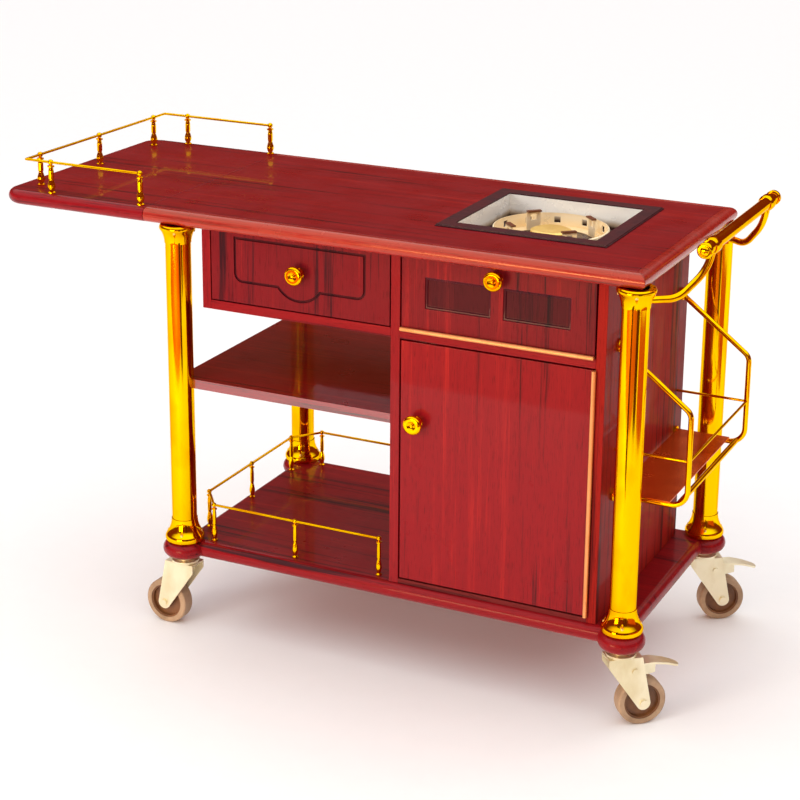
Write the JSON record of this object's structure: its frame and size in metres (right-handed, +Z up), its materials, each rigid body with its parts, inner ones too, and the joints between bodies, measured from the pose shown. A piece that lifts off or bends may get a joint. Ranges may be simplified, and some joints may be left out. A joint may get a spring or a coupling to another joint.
{
  "type": "kitchen serving cart",
  "caption": "Wood and brass serving cart with a sunk gas burner, folding leaf, drawer, flap, door cabinet, open shelf, side rack, push handle and swivel casters.",
  "frame": {"origin": "on the floor, midway between the four posts, whose axes are also the casters' swivel axes", "axes": "+X along the length towards the push handle, +Y to the back, +Z up out of the worktop"},
  "size_m": [1.402, 0.5889, 0.9094],
  "materials": {
    "lacquered_wood": "gloss red-brown lacquer over dark vertical grain",
    "inner_wood": "satin red-brown stain",
    "gold_metal": "mirror-polished gold",
    "steel": "bright steel",
    "dark_frame": "dark bronze gloss",
    "burner_knob": "black moulded heat-proof plastic",
    "caster_zinc": "yellow-passivated pressed steel",
    "wheel": "tan-brown tyre on a grey-brown hub disc"
  },
  "bodies": {
    "frame": {"deck_board": "lacquered_wood", "worktop": "lacquered_wood", "worktop_nosing": "lacquered_wood", "post_front_left": "gold_metal", "post_front_right": "gold_metal", "post_rear_right": "gold_metal", "post_rear_left": "gold_metal", "foot_flanges": "gold_metal", "head_flanges": "gold_metal", "cabinet_side": "lacquered_wood", "cabinet_divider": "lacquered_wood", "cabinet_floor": "inner_wood", "housing_side": "lacquered_wood", "housing_floor": "lacquered_wood", "flap_rail_board": "lacquered_wood", "back_panels": "inner_wood", "mid_shelf": "lacquered_wood", "shelf_pins": "steel", "deck_gallery_posts": "gold_metal", "deck_gallery_rail": "gold_metal", "rack_frame": "gold_metal", "rack_floor": "gold_metal", "handle_brackets": "gold_metal", "handle_grip": "gold_metal", "burner_frame": "dark_frame", "burner_tray": "steel", "burner_head": "gold_metal", "pan_ring": "steel", "gas_valve": "steel", "control_panel": "dark_frame", "housing_runners": "steel", "case_hinge_leaves": "gold_metal", "leaf_hinge_fixed": "steel", "magnet_catches": "steel", "caster_stems": "caster_zinc"},
    "leaf": {"leaf_board": "lacquered_wood", "leaf_gallery_posts": "gold_metal", "leaf_gallery_rail": "gold_metal", "leaf_hinge_moving": "steel"},
    "drawer": {"drawer_front": "lacquered_wood", "drawer_box": "inner_wood", "drawer_knob": "gold_metal", "drawer_runners": "steel"},
    "flap": {"flap_board": "lacquered_wood", "flap_knob": "gold_metal", "flap_hinge_leaf": "gold_metal"},
    "door": {"door_board": "lacquered_wood", "door_knob": "gold_metal", "door_hinge_leaf": "gold_metal"},
    "valve_knob": {"burner_knob": "burner_knob"},
    "caster_front_left": {"fork_front_left": "caster_zinc"},
    "roller_front_left": {"wheel_front_left": "wheel"},
    "caster_front_right": {"fork_front_right": "caster_zinc"},
    "roller_front_right": {"wheel_front_right": "wheel"},
    "brake_front_right": {"brake_pedal_front_right": "caster_zinc"},
    "caster_rear_right": {"fork_rear_right": "caster_zinc"},
    "roller_rear_right": {"wheel_rear_right": "wheel"},
    "brake_rear_right": {"brake_pedal_rear_right": "caster_zinc"},
    "caster_rear_left": {"fork_rear_left": "caster_zinc"},
    "roller_rear_left": {"wheel_rear_left": "wheel"}
  },
  "joints": [
    {"name": "leaf_fold", "type": "hinge", "parent": "frame", "child": "leaf", "pos_m": [-0.51, 0, 0.8117], "axis": [0, -1, 0], "range_deg": [0, 90]},
    {"name": "drawer_slide", "type": "slide", "parent": "frame", "child": "drawer", "axis": [0, -1, 0], "range_m": [0, 0.3]},
    {"name": "flap_fall", "type": "hinge", "parent": "frame", "child": "flap", "pos_m": [0.1955, -0.2423, 0.6786], "axis": [1, 0, 0], "range_deg": [0, 90]},
    {"name": "door_swing", "type": "hinge", "parent": "frame", "child": "door", "pos_m": [0.3804, -0.2423, 0.425], "axis": [0, 0, 1], "range_deg": [0, 110]},
    {"name": "valve_turn", "type": "hinge", "parent": "frame", "child": "valve_knob", "pos_m": [0.19, -0.2, 0.768], "axis": [0, 1, 0], "range_deg": [0, 90]},
    {"name": "swivel_front_left", "type": "hinge", "parent": "frame", "child": "caster_front_left", "pos_m": [-0.45, -0.24, 0.13], "axis": [0, 0, 1], "continuous": true},
    {"name": "roll_front_left", "type": "hinge", "parent": "caster_front_left", "child": "roller_front_left", "pos_m": [-0.48998, -0.2386, 0.045], "axis": [-0.0349, -0.9994, 0], "continuous": true},
    {"name": "swivel_front_right", "type": "hinge", "parent": "frame", "child": "caster_front_right", "pos_m": [0.45, -0.24, 0.13], "axis": [0, 0, 1], "continuous": true},
    {"name": "roll_front_right", "type": "hinge", "parent": "caster_front_right", "child": "roller_front_right", "pos_m": [0.48064, -0.21429, 0.045], "axis": [-0.6428, 0.766, 0], "continuous": true},
    {"name": "brake_front_right", "type": "hinge", "parent": "caster_front_right", "child": "brake_front_right", "pos_m": [0.46685, -0.22586, 0.109], "axis": [-0.6428, 0.766, 0], "range_deg": [0, 12]},
    {"name": "swivel_rear_right", "type": "hinge", "parent": "frame", "child": "caster_rear_right", "pos_m": [0.45, 0.24, 0.13], "axis": [0, 0, 1], "continuous": true},
    {"name": "roll_rear_right", "type": "hinge", "parent": "caster_rear_right", "child": "roller_rear_right", "pos_m": [0.48316, 0.26237, 0.045], "axis": [-0.5592, 0.829, 0], "continuous": true},
    {"name": "brake_rear_right", "type": "hinge", "parent": "caster_rear_right", "child": "brake_rear_right", "pos_m": [0.46824, 0.2523, 0.109], "axis": [-0.5592, 0.829, 0], "range_deg": [0, 12]},
    {"name": "swivel_rear_left", "type": "hinge", "parent": "frame", "child": "caster_rear_left", "pos_m": [-0.45, 0.24, 0.13], "axis": [0, 0, 1], "continuous": true},
    {"name": "roll_rear_left", "type": "hinge", "parent": "caster_rear_left", "child": "roller_rear_left", "pos_m": [-0.48709, 0.25498, 0.045], "axis": [-0.3746, -0.9272, 0], "continuous": true}
  ]
}
